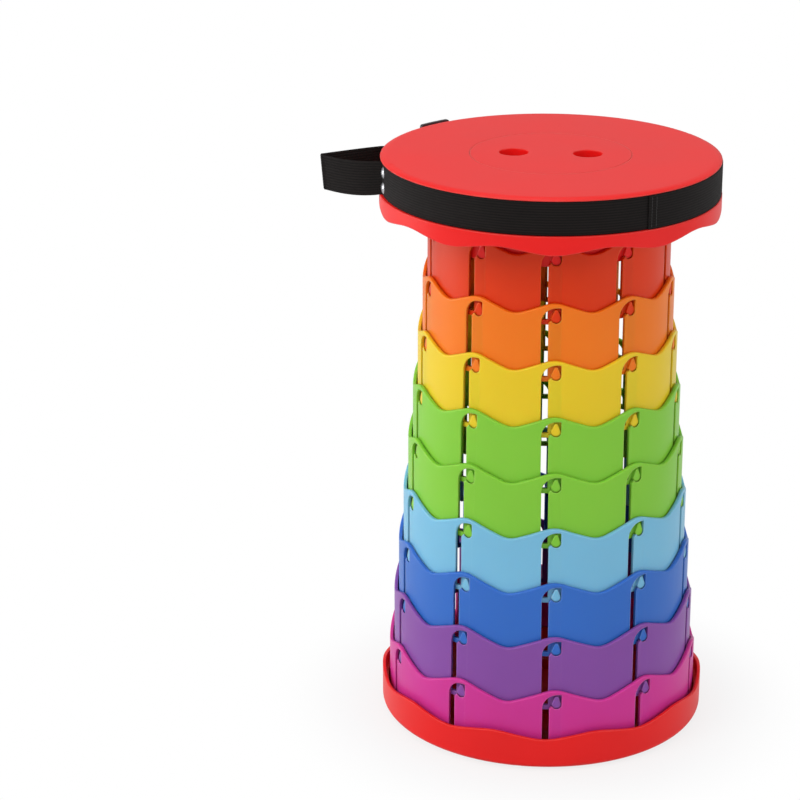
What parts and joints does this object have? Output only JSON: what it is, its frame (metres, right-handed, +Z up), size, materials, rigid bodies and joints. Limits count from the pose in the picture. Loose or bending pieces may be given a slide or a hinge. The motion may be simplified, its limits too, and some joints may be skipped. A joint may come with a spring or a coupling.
{
  "type": "collapsible telescopic stool",
  "caption": "Collapsible stool with a round seat on nested plastic rings that lock in hooked slots and fold flat into the base, with a webbing carry strap round the seat.",
  "frame": {"origin": "on the surface the stool stands on, on the common axis of the rings, the base and the seat", "axes": "+Z up along the rings' axis, -Y towards the front of the picture, +X to its right, with the carry loop on the -X side"},
  "size_m": [0.2922, 0.251, 0.4408],
  "materials": {
    "red_plastic": "satin",
    "ring_1_plastic": "satin",
    "ring_2_plastic": "satin",
    "ring_3_plastic": "satin",
    "ring_4_plastic": "satin",
    "ring_5_plastic": "satin",
    "ring_6_plastic": "satin",
    "ring_7_plastic": "satin",
    "ring_8_plastic": "satin",
    "ring_9_plastic": "satin",
    "webbing": "matte",
    "rivet_steel": "satin",
    "screw_steel": "satin",
    "slider_plastic": "satin",
    "foot_rubber": "matte"
  },
  "bodies": {
    "base": {"base_shell": "red_plastic", "foot_ring": "foot_rubber", "ring_9": "ring_9_plastic"},
    "section_8": {"ring_8": "ring_8_plastic"},
    "section_7": {"ring_7": "ring_7_plastic"},
    "section_6": {"ring_6": "ring_6_plastic"},
    "section_5": {"ring_5": "ring_5_plastic"},
    "section_4": {"ring_4": "ring_4_plastic"},
    "section_3": {"ring_3": "ring_3_plastic"},
    "section_2": {"ring_2": "ring_2_plastic"},
    "section_1": {"ring_1": "ring_1_plastic"},
    "seat": {"seat_top": "red_plastic", "seat_collar": "red_plastic", "seat_screws": "screw_steel", "centre_disc": "red_plastic", "strap_band": "webbing", "strap_overlap": "webbing", "carry_loop": "webbing", "loop_rivets": "rivet_steel", "rivet_washers": "rivet_steel"},
    "slider": {"strap_slider": "slider_plastic"}
  },
  "joints": [
    {"name": "section_8_slide", "type": "slide", "parent": "base", "child": "section_8", "axis": [0, 0, 1], "range_m": [-0.0417, 0]},
    {"name": "section_7_slide", "type": "slide", "parent": "section_8", "child": "section_7", "axis": [0, 0, 1], "range_m": [-0.0417, 0]},
    {"name": "section_6_slide", "type": "slide", "parent": "section_7", "child": "section_6", "axis": [0, 0, 1], "range_m": [-0.0417, 0]},
    {"name": "section_5_slide", "type": "slide", "parent": "section_6", "child": "section_5", "axis": [0, 0, 1], "range_m": [-0.0417, 0]},
    {"name": "section_4_slide", "type": "slide", "parent": "section_5", "child": "section_4", "axis": [0, 0, 1], "range_m": [-0.0417, 0]},
    {"name": "section_3_slide", "type": "slide", "parent": "section_4", "child": "section_3", "axis": [0, 0, 1], "range_m": [-0.0417, 0]},
    {"name": "section_2_slide", "type": "slide", "parent": "section_3", "child": "section_2", "axis": [0, 0, 1], "range_m": [-0.0417, 0]},
    {"name": "section_1_slide", "type": "slide", "parent": "section_2", "child": "section_1", "axis": [0, 0, 1], "range_m": [-0.0417, 0]},
    {"name": "seat_slide", "type": "slide", "parent": "section_1", "child": "seat", "axis": [0, 0, 1], "range_m": [-0.0407, 0]},
    {"name": "slider_shift", "type": "hinge", "parent": "seat", "child": "slider", "pos_m": [0, 0, 0.4262], "axis": [0, 0, 1], "range_deg": [-8, 8]}
  ]
}
